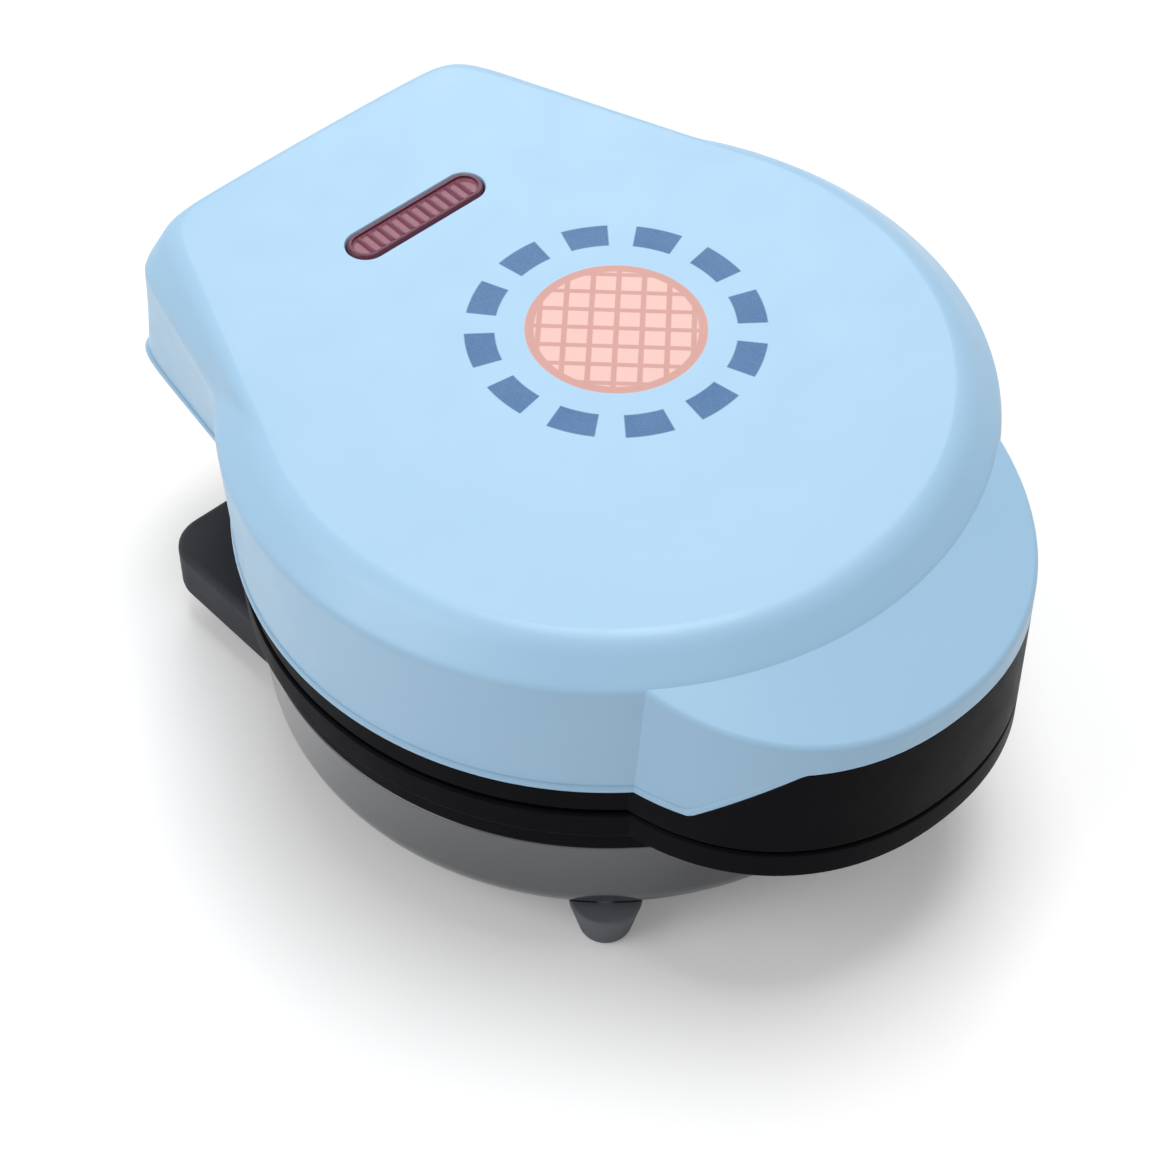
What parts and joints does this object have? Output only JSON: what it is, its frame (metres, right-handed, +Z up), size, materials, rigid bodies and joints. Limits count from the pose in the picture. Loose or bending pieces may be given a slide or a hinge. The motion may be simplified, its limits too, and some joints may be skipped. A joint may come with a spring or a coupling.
{
  "type": "mini waffle maker",
  "caption": "Small round countertop waffle maker with a rear-hinged lid, gridded hot plates, front grips and feet.",
  "frame": {"origin": "centre of the bounding box, on the table under the feet", "axes": "+Y towards the hinge at the rear, -Y towards the grips, +X to the right seen from the front, +Z up"},
  "size_m": [0.1282, 0.1636, 0.0775],
  "materials": {
    "lid_shell": "satin light blue moulded plastic",
    "frame_plastic": "black heat-proof plastic",
    "bowl_plastic": "glossy black plastic",
    "lens": "dark red translucent plastic",
    "lamp_glass": "clear neon lamp",
    "holder": "off-white moulding",
    "foot_rubber": "dark grey rubber",
    "coated_plate": "cast metal with a dark non-stick coating",
    "steel": "plain steel",
    "ceramic": "unglazed off-white ceramic",
    "lead_sleeve": "woven glass-fibre sleeve"
  },
  "bodies": {
    "base": {"base_housing": "frame_plastic", "base_bowl": "bowl_plastic", "foot_front_left": "foot_rubber", "foot_front_right": "foot_rubber", "foot_rear_left": "foot_rubber", "foot_rear_right": "foot_rubber", "base_screw_1": "steel", "base_screw_2": "steel", "base_screw_3": "steel", "base_screw_4": "steel", "lower_plate": "coated_plate", "lower_element": "steel", "lower_heat_shield": "steel", "lower_shield_screw_1": "steel", "lower_shield_screw_2": "steel", "lower_shield_screw_3": "steel", "lower_plate_screw_1": "steel", "lower_plate_screw_2": "steel", "lower_plate_screw_3": "steel", "thermostat": "ceramic", "thermostat_strap": "steel", "thermal_fuse": "ceramic", "fuse_clip": "steel", "terminal_block": "ceramic", "cord_gland": "foot_rubber", "supply_lead_left": "lead_sleeve", "supply_lead_right": "lead_sleeve", "thermostat_lead": "lead_sleeve", "fuse_lead": "lead_sleeve", "element_lead_left": "lead_sleeve", "element_lead_right": "lead_sleeve", "hinge_lead_left": "lead_sleeve", "hinge_lead_right": "lead_sleeve", "hinge_pin_left": "steel", "hinge_pin_right": "steel"},
    "lid": {"lid_housing": "lid_shell", "lid_bezel": "frame_plastic", "indicator_lens": "lens", "indicator_lamp": "lamp_glass", "lamp_holder": "holder", "bezel_screw_1": "steel", "bezel_screw_2": "steel", "bezel_screw_3": "steel", "bezel_screw_4": "steel", "upper_plate": "coated_plate", "upper_element": "steel", "upper_heat_shield": "steel", "upper_shield_screw_1": "steel", "upper_shield_screw_2": "steel", "upper_shield_screw_3": "steel", "upper_plate_screw_1": "steel", "upper_plate_screw_2": "steel", "upper_plate_screw_3": "steel", "lid_lead_left": "lead_sleeve", "lid_lead_right": "lead_sleeve", "lamp_lead_left": "lead_sleeve", "lamp_lead_right": "lead_sleeve"}
  },
  "joints": [
    {"name": "lid_hinge", "type": "hinge", "parent": "base", "child": "lid", "pos_m": [0, 0.06545, 0.0345], "axis": [-1, 0, 0], "range_deg": [0, 105]}
  ]
}
